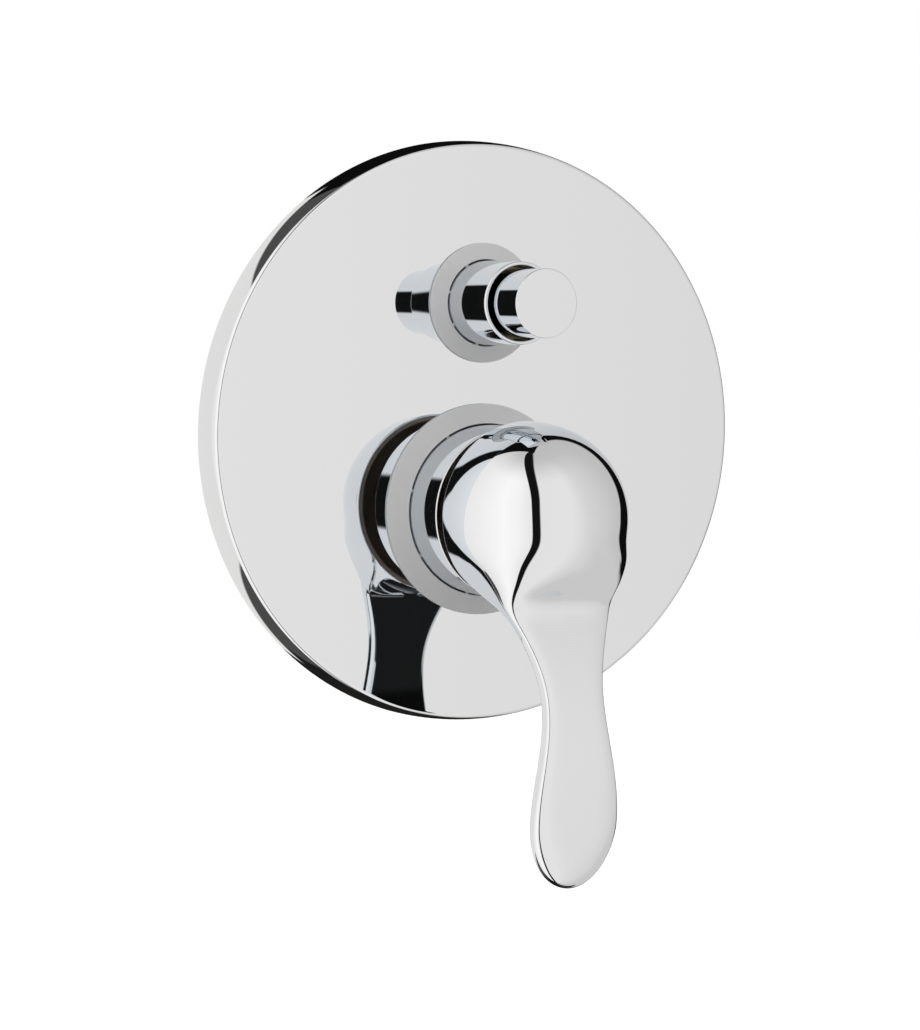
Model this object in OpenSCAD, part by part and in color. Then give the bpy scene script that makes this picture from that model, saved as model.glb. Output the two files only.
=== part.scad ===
// Concealed shower and bath mixer: lever cartridge below, pull-out diverter above, one round cover plate.
// Front faces -Y, and the finished wall is the plane y = 0.
// The origin is the cover plate's centre on the wall.

/* [Cover plate] */
// Radius of the round cover plate at its foot
plate_r = 85; // [80:0.5:95]
// How far the plate's front stands off the wall
plate_out = 10.3; // [9.5:0.1:13]
// Thickness of the pressed sheet
plate_sheet = 1.2; // [1:0.1:1.5]
// Rounding between the plate's face and its side wall
plate_round = 1.3; // [1.2:0.1:3]
// How much smaller the plate's front edge is than its foot at the wall
plate_draft = 1; // [0:0.1:2]
// Height of the diverter's axis above the plate's centre
diverter_up = 37.8; // [36:0.1:42]
// Height of the cartridge's axis above the plate's centre
cartridge_up = -22.2; // [-26:0.1:-20]

/* [Wall seal] */
// Width of the rubber ring inside the plate's rim
seal_w = 5; // [3:0.1:8]

/* [Sleeves and gaskets] */
// Outer radius of the cartridge sleeve
lever_sleeve_r = 24.8; // [24.2:0.1:26]
// Wall of the cartridge sleeve
lever_sleeve_wall = 1.4; // [1:0.1:1.6]
// How far the cartridge sleeve stands out of the plate
lever_sleeve_out = 20; // [17:0.1:22]
// Outer radius of the gasket round the cartridge sleeve
lever_gasket_r = 30.8; // [30:0.1:33]
// How far the lever gasket's inner edge stands off the plate
lever_gasket_h = 3.6; // [2.5:0.1:4.5]
// Outer radius of the diverter sleeve at its foot
diverter_sleeve_r = 12.3; // [12:0.1:13]
// Outer radius of the diverter sleeve at its front lip
diverter_lip_r = 11.8; // [11.5:0.1:12]
// How far the diverter sleeve stands out of the plate
diverter_sleeve_out = 23.8; // [22:0.1:26]
// Outer radius of the gasket round the diverter sleeve
diverter_gasket_r = 17.35; // [16.5:0.1:19]
// How far the diverter gasket's inner edge stands off the plate
diverter_gasket_h = 2.35; // [1.8:0.1:3]
// Open gap between a gasket's front edge and its sleeve
gasket_gap = 0.45; // [0.3:0.05:0.6]
// Nubs that centre each gasket on its sleeve
gasket_nubs = 8; // [6:1:12]

/* [Diverter knob] */
// Radius of the pull knob
knob_r = 9.75; // [9.2:0.05:10]
// Distance of the knob's face from the plate's front
knob_out = 38.5; // [36:0.1:44]
// Travel of the knob when it is pulled
knob_travel = 7.6; // [6:0.1:7.8]

/* [Handle] */
// Radius of the handle's round rim
dome_r = 26.8; // [26.6:0.1:28.5]
// Distance of the rim from the plate's front
rim_h = 27.6; // [26:0.1:31]
// Height of the dome above its rim
dome_h = 32.2; // [31:0.1:36]
// Fullness of the dome: 2 is an ellipse, and more is flatter on top
dome_power = 2.85; // [2.2:0.05:3]
// Softness of the valley where the dome runs into the lever
valley_soft = 15.5; // [8:0.5:18]
// Wall of the hollow casting
handle_wall = 1.9; // [1.6:0.1:2.4]
// Angle below the horizontal at which the round outline turns into the neck
neck_turn = 36; // [32:1:44]
// Distance of the narrowest point of the neck from the cartridge's axis
neck_at = 52.5; // [48:0.5:56]
// Half width of the neck at its narrowest point
neck_w = 9; // [8:0.05:10]
// Distance of the widest point of the paddle from the cartridge's axis
paddle_at = 83; // [78:0.5:86]
// Half width of the paddle at its widest point
paddle_w = 12.9; // [11:0.1:14]
// Distance of the lever's tip from the cartridge's axis
tip_at = 102.4; // [98:0.2:110]
// Power of the paddle's round end: 2 is an ellipse, more is squarer
tip_power = 1.95; // [1.8:0.05:2.6]
// Distance of the lever's crest from the cartridge's axis
crest_at = 71.5; // [68:0.5:74]
// Height of the crest above the plate's front
crest_h = 60.7; // [58:0.1:63]
// Drop of the lever's face from the crest to the foot of the neck
neck_drop = 10.8; // [8:0.1:12]
// Drop of the lever's face from the crest to the tip
tip_drop = 3.6; // [1:0.1:5]
// Thickness of the lever at the neck
neck_thick = 4.2; // [3.8:0.1:5]
// Thickness of the lever at the paddle
paddle_thick = 5.1; // [4.5:0.1:6]

/* [Cartridge] */
// Radius of the cartridge housing
housing_r = 19.9; // [19.6:0.1:20]
// Distance of the lever's pivot in front of the wall
pivot_out = 13.5; // [13:0.1:14]
// Distance from the pivot back to the ball at the spindle's foot
ball_arm = 11; // [10.8:0.1:11.2]
// Radius of the ball at the spindle's foot
ball_r = 3; // [2.8:0.05:3.1]
// Side of the square end of the lever spindle
stem_w = 8; // [7:0.1:8.4]
// Radius of the pivot pin
pivot_pin_r = 1.5; // [1.2:0.05:1.8]
// Radius of the turret's neck
turret_r = 11.5; // [11.3:0.1:11.8]
// Lift of the lever from shut to fully open
lever_lift_deg = 25; // [20:1:26]
// Radius of the moving ceramic disc
moving_disc_r = 10.8; // [10.2:0.1:11]
// Radius of the fixed ceramic disc
fixed_disc_r = 15.7; // [15:0.1:16]

/* [Valve body] */
// Minor radius of the four half inch pipe threads
port_r = 9.32; // [9.2:0.02:9.4]
// Depth of each pipe thread
port_depth = 15; // [12:0.5:17]
// Outer radius of the pipe sockets
socket_r = 13.5; // [13:0.1:14.5]
// Reach of the hot and cold sockets from the cartridge's axis
side_reach = 56; // [52:0.5:58]
// Height of the top socket's mouth above the plate's centre
top_reach = 76; // [74:0.5:79]
// Depth of the bottom socket's mouth below the plate's centre
bottom_reach = 80; // [78:0.5:82]
// Distance of the pipe axes behind the wall
pipe_depth = 34; // [33.5:0.1:35]
// Half width between the fixing holes
lug_x = 34; // [32:0.5:38]
// Half height between the fixing holes
lug_z = 31; // [30:0.5:33]
// Height of the middle of the fixing holes
lug_mid = -22.2; // [-23:0.1:-21]
// Radius of the fixing holes
lug_hole_r = 2.75; // [2.2:0.05:3]
// Radius of the diverter's spindle
rod_r = 2.5; // [2.2:0.05:2.7]

/* [Hidden] */
$fn = 72;

// running clearance round a turning or sliding pin
run = 0.05;
// clearance between pieces that are slid together at assembly
slip = 0.1;
// clearance of a piece that is pressed or screwed home
seat = 0.02;
// gap kept between bodies that move past each other
part_gap = 0.3;
// a cut is carried this far past the face that it opens
past = 1;

chrome = [0.86, 0.87, 0.88];
brass = [0.78, 0.62, 0.34];
steel = [0.62, 0.63, 0.65];
rubber = [0.12, 0.12, 0.12];
grey_rubber = [0.74, 0.74, 0.74];
white_plastic = [0.92, 0.92, 0.9];
ceramic_white = [0.95, 0.94, 0.92];
dark_plastic = [0.16, 0.17, 0.18];

// sizes shared by the cover plate and its gaskets
lever_hole_r = lever_sleeve_r + 3.6;
diverter_hole_r = diverter_sleeve_r + 2.4;
plate_back = plate_out - plate_sheet;
gasket_groove = 1.6;

// levels along the cartridge's axis, outward from the wall
floor_out = -16;
base_l = 4.5;
fixed_disc_l = 4;
moving_disc_l = 4.5;
turret_flange = 3.9;
housing_roof = 1.8;
neck_l = 6.5;
turret_nose = 3;
nut_l = 9;
nut_proud = 2;
base_top = floor_out + base_l;
fixed_top = base_top + fixed_disc_l;
moving_top = fixed_top + moving_disc_l;
ball_out = pivot_out - ball_arm;
carrier_top = ball_out + 2.5;
turret_foot = carrier_top + part_gap;
turret_ledge = turret_foot + turret_flange;
housing_top = turret_ledge + housing_roof;
neck_top = housing_top + neck_l;
turret_top = neck_top + turret_nose;
nut_top = housing_top + nut_l;
collar_top = nut_top - nut_proud;
step_out = -10;
stem_l = 16;
stem_top = plate_out + rim_h + stem_l;

// radii of the cartridge and the collar that holds it
housing_wall = 3.6;
housing_bore = housing_r - housing_wall;
neck_r = 15.5;
chamber_r = housing_r + 0.2;
collar_r = lever_sleeve_r - lever_sleeve_wall - 0.5;
nut_r = collar_r - 1.8;
boss_r = collar_r + 4.6;
nut_slot_w = 4;
nut_slot_l = 3;
collar_groove_r = collar_r - 1.05;
collar_groove_out = 2;

// where the ceramic discs let water through
inlet_x = 5.5;
inlet_down = 5.5;
inlet_r = 2.6;
outlet_up = 6.5;
outlet_r = 3.2;
disc_rest_up = 2;
port_land = 0.5;
port_groove = 1.5;
// the carrier's block, and the turret's two ribs that guide it
carrier_w = 11.6;
carrier_l = 13;
carrier_block = 4.5;
rib_w = 3.2;
rib_l = 20;
rib_x = carrier_w / 2 + part_gap + rib_w / 2;
// the spindle's round shank and the back of its eye, which the pivot pin crosses
shank_r = 2;
eye_back = 4;
// half length of the slot that lets the spindle swing, and the foot of its square stem, clear at full lift
slot_half = (turret_top - pivot_out) * tan(lever_lift_deg) + stem_w / 2 / cos(lever_lift_deg) + 0.8;
stem_foot = pivot_out
    + (turret_top - pivot_out + part_gap + stem_w / 2 * sin(lever_lift_deg)) / cos(lever_lift_deg);
turret_groove_r = turret_r - 0.65;
seal_depth = 1.5;

// waterways cast in the body
way_r = 6;
bath_r = 3.6;
bath_x = 17;
bath_out = floor_out - 2.4 - bath_r;
bath_drop = 32;
boss_back = -pipe_depth - socket_r + 0.8;
web_w = 23;
lug_w = 14;

// levels along the diverter's axis, outward from the wall
bonnet_thread_top = -4;
bonnet_shoulder = -16;
front_seat = -26;
rear_seat = -38;
piston_thick = front_seat - rear_seat - knob_travel - 2 * 0.2;
piston_foot = rear_seat + 0.2;
piston_top = piston_foot + piston_thick;
spring_seat = -10;
rear_chamber = -48;
hex_foot = bonnet_thread_top + 2;
hex_top = hex_foot + 7;
bonnet_collar_top = hex_top + 4;
bonnet_top = bonnet_collar_top + 5;
thread_r = 10.8;
land_r = 8.1;
tube_r = land_r - slip;
tube_groove_r = tube_r - 0.85;
chamber2_r = 9.5;
seat_hole_r = 5.5;
diverter_bore = diverter_lip_r - 1.15;
diverter_foot_bore = diverter_sleeve_r - 1.1;
bonnet_collar_r = diverter_foot_bore - part_gap;
bonnet_groove_r = bonnet_collar_r - 0.95;
diverter_boss_r = thread_r + 4.7;
boss2_front = -2.5;
knob_foot = bonnet_top + 4;
knob_face = plate_out + knob_out;
knob_wall = 2.1;
knob_hub_r = 4.6;
knob_hub_l = 12;
rod_top = knob_face - 6;
rod_groove_r = rod_r + 0.95;
rod_grooves = [2, 8];
washer_thick = 1;
spring_r = 4.2;
wire_r = 0.4;
spring_turns = 7;

// places along the handle
turn_z = -dome_r * sin(neck_turn);
turn_w = dome_r * cos(neck_turn);
turn_slope = tan(neck_turn);
foot_z = -33;
rim_out = plate_out + rim_h;
cavity_h = dome_h - 2 * handle_wall;
hub_r = 7.4;
screw_r = 2.5;
screw_out = stem_top - 8;

// stands a shape drawn on the wall up so that its +Z points out into the room
module from_wall(up = 0, out = 0) {
    rotate([90, 0, 0]) translate([0, up, out]) children();
}

// a straight round bar between two levels
module bar(r, from, to) {
    translate([0, 0, from]) cylinder(r = r, h = to - from);
}

// a straight ring between two levels
module ring(r_out, r_in, from, to) {
    difference() {
        bar(r_out, from, to);
        bar(r_in, from - past, to + past);
    }
}

// a rubber ring of round section between the floor of its groove and the wall that it seals
module oring(r_floor, r_wall, out) {
    translate([0, 0, out]) rotate_extrude() translate([(r_floor + r_wall) / 2, 0])
        circle(r = (r_wall - r_floor) / 2 - seat, $fn = 24);
}

// a quarter round as points, from one angle to another
function arc(cx, cy, r, a0, a1, steps = 8) =
    [for (i = [0:steps]) let (a = a0 + (a1 - a0) * i / steps) [cx + r * cos(a), cy + r * sin(a)]];

module cover_plate() {
    edge_x = plate_r - plate_draft - plate_round;
    edge_y = plate_out - plate_round;
    lean = atan(plate_draft / edge_y);
    color(chrome) difference() {
        from_wall() rotate_extrude($fn = 180) polygon(concat(
            [[0, plate_out]],
            arc(edge_x, edge_y, plate_round, 90, lean),
            [[plate_r, 0], [plate_r - plate_sheet, 0]],
            arc(edge_x, edge_y, plate_round - plate_sheet, lean, 90),
            [[0, plate_back]]
        ));
        from_wall(cartridge_up) bar(lever_hole_r, 0, plate_out + past);
        from_wall(diverter_up) bar(diverter_hole_r, 0, plate_out + past);
    }
}

module wall_seal() {
    seal_outer = plate_r - plate_draft - plate_round;
    color(rubber) from_wall() ring(seal_outer, seal_outer - seal_w, 0, plate_back);
}

// a soft ring that grips the edge of a plate hole and centres itself on a sleeve with small nubs
module gasket(sleeve_r, hole_r, outer_r, lip_h) {
    inner = sleeve_r + gasket_gap;
    grip = sleeve_r + run;
    back = plate_back - gasket_groove;
    nub_w = 1;
    nub_in = 0.4;
    union() {
        rotate_extrude($fn = 120) polygon(concat(
            [[grip, back], [hole_r + 1.6, back], [hole_r + 1.6, plate_back], [hole_r, plate_back]],
            [[hole_r, plate_out], [outer_r - 0.2, plate_out]],
            arc(outer_r - 0.5, plate_out + 0.5, 0.5, -20, 75, 5),
            arc(inner + 0.5, plate_out + lip_h - 0.5, 0.5, 80, 180, 5),
            [[inner, plate_out + 0.6], [grip, plate_out]]
        ));
        for (k = [0:gasket_nubs - 1])
            rotate(360 / gasket_nubs * (k + 0.35))
                translate([grip + seat, -nub_w / 2, plate_out - nub_in])
                    cube([gasket_gap + nub_in, nub_w, lip_h - 0.9 + nub_in]);
    }
}

module lever_gasket() {
    color(grey_rubber) from_wall(cartridge_up)
        gasket(lever_sleeve_r, lever_hole_r, lever_gasket_r, lever_gasket_h);
}

module diverter_gasket() {
    color(grey_rubber) from_wall(diverter_up)
        gasket(diverter_sleeve_r, diverter_hole_r, diverter_gasket_r, diverter_gasket_h);
}

module lever_sleeve() {
    front = plate_out + lever_sleeve_out;
    bore = lever_sleeve_r - lever_sleeve_wall;
    color(chrome) from_wall(cartridge_up) rotate_extrude($fn = 120) polygon(concat(
        [[bore, step_out + 0.5], [lever_sleeve_r, step_out + 0.5]],
        arc(lever_sleeve_r - 0.8, front - 0.8, 0.8, 0, 90, 5),
        [[nut_r - 0.6, front], [nut_r - 0.6, front - 1.6], [bore, front - 1.6]]
    ));
}

module lever_sleeve_oring() {
    color(rubber) from_wall(cartridge_up)
        oring(collar_groove_r, lever_sleeve_r - lever_sleeve_wall, collar_groove_out);
}

// the sleeve tapers slightly to a rounded lip
module diverter_sleeve() {
    front = plate_out + diverter_sleeve_out;
    foot = diverter_foot_bore;
    back = boss2_front + 0.5;
    color(chrome) from_wall(diverter_up) rotate_extrude($fn = 96) polygon(concat(
        [[foot, back], [diverter_sleeve_r, back], [diverter_sleeve_r, plate_out + 3]],
        arc(diverter_lip_r - 0.55, front - 0.55, 0.55, 0, 180, 8),
        [[diverter_bore, front - 2], [foot, front - 5]]
    ));
}

module diverter_sleeve_oring() {
    color(rubber) from_wall(diverter_up) oring(bonnet_groove_r, diverter_foot_bore, hex_top + 2);
}

// one pipe socket along +Z of its own frame, from inside the casting to its thicker mouth
module socket(from, reach) {
    bar(socket_r - 1.5, from, reach);
    bar(socket_r, reach - port_depth - 3, reach);
}

// a threaded mouth cut back along +Z from the socket's face, with the waterway behind it
module port_cut(way_depth) {
    bar(port_r, -past, port_depth);
    bar(way_r, 0, way_depth);
}

module valve_body() {
    color(brass) difference() {
        union() {
            from_wall(cartridge_up) {
                bar(boss_r, boss_back, step_out);
                bar(collar_r, step_out - 2, collar_top);
                translate([0, 0, -pipe_depth]) {
                    rotate([0, 90, 0]) socket(boss_r - 9, side_reach);
                    rotate([0, -90, 0]) socket(boss_r - 9, side_reach);
                    rotate([90, 0, 0]) socket(boss_r - 9, bottom_reach + cartridge_up);
                }
            }
            from_wall(diverter_up) {
                bar(diverter_boss_r, rear_chamber - 3.5, boss2_front);
                translate([0, 0, -pipe_depth]) rotate([-90, 0, 0]) socket(8, top_reach - diverter_up);
            }
            from_wall() translate([-web_w / 2, cartridge_up + 9, -pipe_depth - 10])
                cube([web_w, diverter_up - cartridge_up - 16, 23]);
            bath_way(bath_r + 2.4);
            fixing_lugs();
        }
        from_wall(cartridge_up) {
            bar(chamber_r, floor_out, collar_top + past);
            bar(nut_r + slip, housing_top, collar_top + past);
            ring(collar_r + past, collar_groove_r, collar_groove_out - 0.9, collar_groove_out + 0.9);
            for (side = [-1, 1])
                translate([side * inlet_x, -inlet_down, 0]) bar(inlet_r, -pipe_depth, floor_out + past);
            translate([0, outlet_up, 0]) bar(outlet_r, -pipe_depth + 2, floor_out + past);
            for (side = [-1, 1]) translate([side * side_reach, 0, -pipe_depth]) rotate([0, -side * 90, 0])
                port_cut(side_reach - 4.8);
            translate([0, -bottom_reach - cartridge_up, -pipe_depth]) rotate([-90, 0, 0])
                port_cut(bottom_reach + cartridge_up - bath_drop + 1.3);
        }
        from_wall(diverter_up) {
            bar(thread_r, bonnet_shoulder, boss2_front + past);
            bar(chamber2_r, front_seat + 3, bonnet_shoulder + past);
            bar(land_r, front_seat - 1, front_seat + 3 + past);
            bar(chamber2_r, rear_seat, front_seat - 0.5);
            bar(seat_hole_r, rear_seat - 2 - past, rear_seat + past);
            bar(land_r, rear_chamber, rear_seat - 2);
            translate([0, top_reach - diverter_up, -pipe_depth]) rotate([90, 0, 0])
                bar(port_r, -past, port_depth);
        }
        mixed_way();
        shower_way();
        bath_way(bath_r);
        fixing_holes();
    }
}

// the mixed water rises from the cartridge's outlet to the middle of the diverter
module mixed_way() {
    from_wall(cartridge_up, -pipe_depth + 2) translate([0, outlet_up, 0]) rotate([-90, 0, 0])
        bar(outlet_r - 0.1, -outlet_r + 0.5, diverter_up - cartridge_up - outlet_up);
}

// from the diverter's rear chamber up to the top socket
module shower_way() {
    from_wall(top_reach - port_depth + 2, -pipe_depth) rotate([90 + 30, 0, 0]) bar(4.4, 0, 24);
}

// from the diverter's front chamber down past the cartridge and back to the bottom socket
module bath_way(r) {
    rise = diverter_up - cartridge_up;
    from_wall(cartridge_up, bath_out) {
        translate([bath_x, rise, 0]) rotate([90, 0, 0]) bar(r, -r * 0.6, rise + bath_drop + r * 0.6);
        translate([0, rise, 2.4]) rotate([0, 90, 0]) bar(r - 0.6, diverter_boss_r - 9, bath_x + 1);
        translate([0, -bath_drop, 0]) rotate([0, 90, 0]) bar(r - 0.3, 0, bath_x + 0.5);
        translate([0, -bath_drop, 0]) bar(r - 0.2, bath_out + pipe_depth - 26, r * 0.5);
    }
}

module fixing_lugs() {
    reach = norm([lug_x, lug_z]);
    for (sx = [-1, 1], sz = [-1, 1])
        from_wall(lug_mid, -pipe_depth - 9) {
            translate([sx * lug_x, sz * lug_z, 0]) bar(lug_w / 2, 0, 5);
            rotate(atan2(sz * lug_z, sx * lug_x)) translate([boss_r - 8, -lug_w / 2 + 0.5, 0])
                cube([reach - boss_r + 8, lug_w - 1, 5]);
        }
}

module fixing_holes() {
    for (x = [-lug_x, lug_x], z = [-lug_z, lug_z])
        from_wall(lug_mid) translate([x, z, 0]) bar(lug_hole_r, -pipe_depth - 10, -pipe_depth - 3);
}

// the threaded ring that holds the cartridge down, with four wrench slots
module cartridge_nut() {
    color(brass) from_wall(cartridge_up) difference() {
        ring(nut_r, neck_r + 0.2, housing_top, nut_top);
        for (a = [0, 90]) rotate(a) translate([-nut_r - past, -nut_slot_w / 2, nut_top - nut_slot_l])
            cube([2 * nut_r + 2 * past, nut_slot_w, nut_slot_l + past]);
    }
}

module cartridge_housing() {
    color(white_plastic) from_wall(cartridge_up) difference() {
        union() {
            bar(housing_r, base_top, housing_top);
            bar(neck_r, housing_top, neck_top);
        }
        bar(housing_bore, base_top - past, turret_ledge);
        bar(turret_r + run, turret_ledge - past, neck_top + past);
    }
}

module water_holes(from, to) {
    for (side = [-1, 1]) translate([side * inlet_x, -inlet_down, 0]) bar(inlet_r, from, to);
    translate([0, outlet_up, 0]) bar(outlet_r, from, to);
}

// a groove for a seal round one water hole of the base
module port_seat(hole_r) {
    land_out = hole_r + port_land;
    ring(land_out + port_groove, land_out, floor_out - past, floor_out + seal_depth);
}

module cartridge_base() {
    color(dark_plastic) from_wall(cartridge_up) difference() {
        bar(housing_r, floor_out, base_top);
        water_holes(floor_out - past, base_top + past);
        for (side = [-1, 1]) translate([side * inlet_x, -inlet_down, 0]) port_seat(inlet_r);
        translate([0, outlet_up, 0]) port_seat(outlet_r);
    }
}

// the seal that lies in that groove
module port_seal(hole_r) {
    land_out = hole_r + port_land;
    oring(land_out, land_out + port_groove, floor_out + seal_depth / 2);
}

module base_seals() {
    color(rubber) from_wall(cartridge_up) {
        for (side = [-1, 1]) translate([side * inlet_x, -inlet_down, 0]) port_seal(inlet_r);
        translate([0, outlet_up, 0]) port_seal(outlet_r);
    }
}

module fixed_disc() {
    color(ceramic_white) from_wall(cartridge_up) difference() {
        bar(fixed_disc_r, base_top, fixed_top);
        water_holes(base_top - past, fixed_top + past);
    }
}

// its hollow underside joins the inlets to the outlet when the lever is lifted
module moving_disc() {
    color(ceramic_white) from_wall(cartridge_up) translate([0, disc_rest_up, 0]) difference() {
        bar(moving_disc_r, fixed_top, moving_top);
        translate([0, 1.2, 0]) bar(7, fixed_top - past, fixed_top + 2.5);
    }
}

module disc_carrier() {
    sunk = 0.5;
    color(dark_plastic) from_wall(cartridge_up) difference() {
        union() {
            translate([0, disc_rest_up, 0]) bar(moving_disc_r, moving_top, carrier_top - carrier_block);
            translate([-carrier_w / 2, -carrier_l / 2, carrier_top - carrier_block - sunk])
                cube([carrier_w, carrier_l, carrier_block + sunk]);
        }
        bar(ball_r + 0.15, ball_out - ball_r - 0.4, carrier_top + past);
    }
}

// turns in the housing, carries the pivot pin and guides the disc carrier between two ribs
module turret() {
    rib_foot = carrier_top - carrier_block + part_gap;
    color(white_plastic) from_wall(cartridge_up) difference() {
        union() {
            bar(housing_bore - part_gap, turret_foot, turret_ledge - slip);
            bar(turret_r, turret_foot, turret_top);
            for (side = [-1, 1]) translate([side * rib_x - rib_w / 2, -rib_l / 2, rib_foot])
                cube([rib_w, rib_l, turret_foot - rib_foot + slip]);
        }
        translate([-stem_w / 2 + 0.2, -slot_half, turret_foot - past])
            cube([stem_w - 0.4, 2 * slot_half, turret_top - turret_foot + 2 * past]);
        translate([0, 0, pivot_out]) rotate([0, 90, 0]) bar(pivot_pin_r, -turret_r, turret_r);
        ring(turret_r + past, turret_groove_r, neck_top - 2.7, neck_top - 1.7);
    }
}

module turret_oring() {
    color(rubber) from_wall(cartridge_up) oring(turret_groove_r, turret_r + run, neck_top - 2.2);
}

module pivot_pin() {
    color(steel) from_wall(cartridge_up, pivot_out) rotate([0, 90, 0])
        bar(pivot_pin_r, -turret_r + 0.9, turret_r - 0.9);
}

// the brass stem that turns the lever's tilt into the disc's slide
module lever_spindle() {
    eye_w = stem_w - 0.4 - 2 * 0.15;
    color(brass) from_wall(cartridge_up) difference() {
        union() {
            translate([0, 0, ball_out]) sphere(r = ball_r);
            bar(shank_r, ball_out, pivot_out - eye_back + past);
            translate([-eye_w / 2, -stem_w / 2, pivot_out - eye_back])
                cube([eye_w, stem_w, stem_foot - pivot_out + eye_back]);
            translate([-stem_w / 2, -stem_w / 2, stem_foot])
                cube([stem_w, stem_w, stem_top - stem_foot]);
        }
        translate([0, 0, pivot_out]) rotate([0, 90, 0]) bar(pivot_pin_r + run, -stem_w, stem_w);
    }
}

// smooth step between 0 and 1
function ease(t) = let (u = min(1, max(0, t))) u * u * (3 - 2 * u);

// half width of the handle's front outline at height z from the cartridge's axis
function half_width(z) =
    z >= turn_z ? sqrt(max(0, dome_r * dome_r - z * z)) :
    z >= -neck_at ? let (run_l = neck_at + turn_z, t = (turn_z - z) / run_l)
        turn_w * (1 - 3 * t * t + 2 * t * t * t) - turn_slope * run_l * (t - 2 * t * t + t * t * t)
        + neck_w * (3 * t * t - 2 * t * t * t) :
    z >= -paddle_at ? neck_w + (paddle_w - neck_w) * ease((-neck_at - z) / (paddle_at - neck_at)) :
    paddle_w * pow(max(0, 1 - pow((-paddle_at - z) / (tip_at - paddle_at), tip_power)), 1 / tip_power);

// height of the lever's face above the plate's front
function lever_face(z) =
    z >= -crest_at ? crest_h - neck_drop * pow((z + crest_at) / (crest_at - 27.8), 2) :
    crest_h - tip_drop * pow((z + crest_at) / (tip_at - crest_at), 2);

function lever_thick(z) = neck_thick + (paddle_thick - neck_thick) * ease((-neck_at - z) / 30);

// height of the handle's ridge: the dome and the lever's face, softly joined
function ridge(z) =
    let (
        dome = rim_h + dome_h * pow(max(0, 1 - pow(z / dome_r, 2)), 1 / dome_power),
        face = lever_face(z),
        soft = valley_soft * ease((-2 - z) / 26)
    )
    (dome + face + sqrt(pow(dome - face, 2) + soft * soft)) / 2;

// height of the handle's lower edge: the rim, then the lever's back
function lower_edge(z) =
    z >= turn_z ? rim_h :
    let (back = lever_face(z) - lever_thick(z))
    rim_h + (back - rim_h) * ease((turn_z - z) / (turn_z - foot_z));

// the power of the section's curve, which grows from a round one on the dome to a square one on the lever
square_power = 4.9;
function section_power(z, round_power) =
    round_power + (square_power - round_power) * ease((-6 - z) / 26);

function sgn_pow(v, p) = (v < 0 ? -1 : 1) * pow(abs(v), p);

// the front skin: one arch of points over each height z, from the left edge to the right edge
arch_steps = 14;
function arch(z) = [for (j = [0:arch_steps])
    let (
        a = 180 - 180 * j / arch_steps,
        low = lower_edge(z),
        across = sgn_pow(cos(a), 2 / section_power(z, 2)),
        up = pow(sin(a), 2 / section_power(z, dome_power))
    )
    [half_width(z) * across, z, low + (ridge(z) - low) * up]];

// heights of the arches: close together where the dome and the tip curve most
dome_rows = 16;
foot_rows = 6;
lever_rows = 16;
// the last arch stops this short of the tip, where all its points would meet
tip_gap = 0.02;
lever_l = tip_at + foot_z - tip_gap;
rows_z = concat(
    [for (i = [1:dome_rows]) dome_r * cos(i * (90 + neck_turn) / dome_rows)],
    [for (i = [1:foot_rows]) turn_z + (foot_z - turn_z) * i / foot_rows],
    [for (i = [1:lever_rows]) foot_z - lever_l * sin(90 * i / lever_rows)]
);
turn_row = dome_rows - 1;
foot_row = turn_row + foot_rows;

// the underside of the neck: from the lower part of the rim to the lever's back
function underside(i) =
    let (
        t = (i - turn_row) / foot_rows,
        z = rows_z[i],
        w = half_width(z),
        low = lower_edge(z),
        w_foot = half_width(foot_z)
    )
    [for (j = [1:arch_steps - 1])
        let (
            u = -1 + 2 * j / arch_steps,
            a = -90 + u * (90 - neck_turn),
            rim_x = dome_r * cos(a),
            rim_z = dome_r * sin(a),
            x = (1 - t) * rim_x + u * (t * w_foot + w - (1 - t) * turn_w - t * w_foot),
            v = (1 - t) * rim_z + t * foot_z + z - (1 - t) * turn_z - t * foot_z
        )
        [x, v, low]];

function back_row(i) =
    let (z = rows_z[i], w = half_width(z))
    [for (j = [1:arch_steps - 1]) [w * (-1 + 2 * j / arch_steps), z, lower_edge(z)]];

module handle_skin() {
    n = arch_steps + 1;
    m = arch_steps - 1;
    rows = len(rows_z);
    top = [0, dome_r, rim_h];
    tip = [0, -tip_at, (ridge(-tip_at) + lower_edge(-tip_at)) / 2];
    fronts = [for (z = rows_z) each arch(z)];
    backs = [for (i = [turn_row:rows - 1]) each (i < foot_row ? underside(i) : back_row(i))];
    hub = [0, 0, rim_h];
    points = concat([top, tip, hub], fronts, backs);
    front = function (i, j) 3 + i * n + j;
    // a point of the back skin, whose outer columns are the front skin's edges
    back = function (i, j) j == 0 ? front(i, 0) : j == n - 1 ? front(i, n - 1) :
        3 + rows * n + (i - turn_row) * m + j - 1;
    faces = concat(
        [for (j = [0:n - 2]) [0, front(0, j), front(0, j + 1)]],
        [for (i = [0:rows - 2], j = [0:n - 2]) each [
            [front(i, j), front(i + 1, j), front(i + 1, j + 1)],
            [front(i, j), front(i + 1, j + 1), front(i, j + 1)]]],
        [for (j = [0:n - 2]) [front(rows - 1, j), 1, front(rows - 1, j + 1)]],
        [for (i = [turn_row:rows - 2], j = [0:n - 2]) each [
            [back(i, j), back(i + 1, j + 1), back(i + 1, j)],
            [back(i, j), back(i, j + 1), back(i + 1, j + 1)]]],
        [for (j = [0:n - 2]) [back(rows - 1, j), back(rows - 1, j + 1), 1]],
        [[2, 0, front(0, n - 1)], [2, front(0, 0), 0]],
        [for (i = [0:turn_row - 1]) each [
            [2, front(i, n - 1), front(i + 1, n - 1)],
            [2, front(i + 1, 0), front(i, 0)]]],
        [for (j = [0:n - 2]) [2, back(turn_row, j + 1), back(turn_row, j)]]
    );
    polyhedron(points = points, faces = faces, convexity = 6);
}

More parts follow.
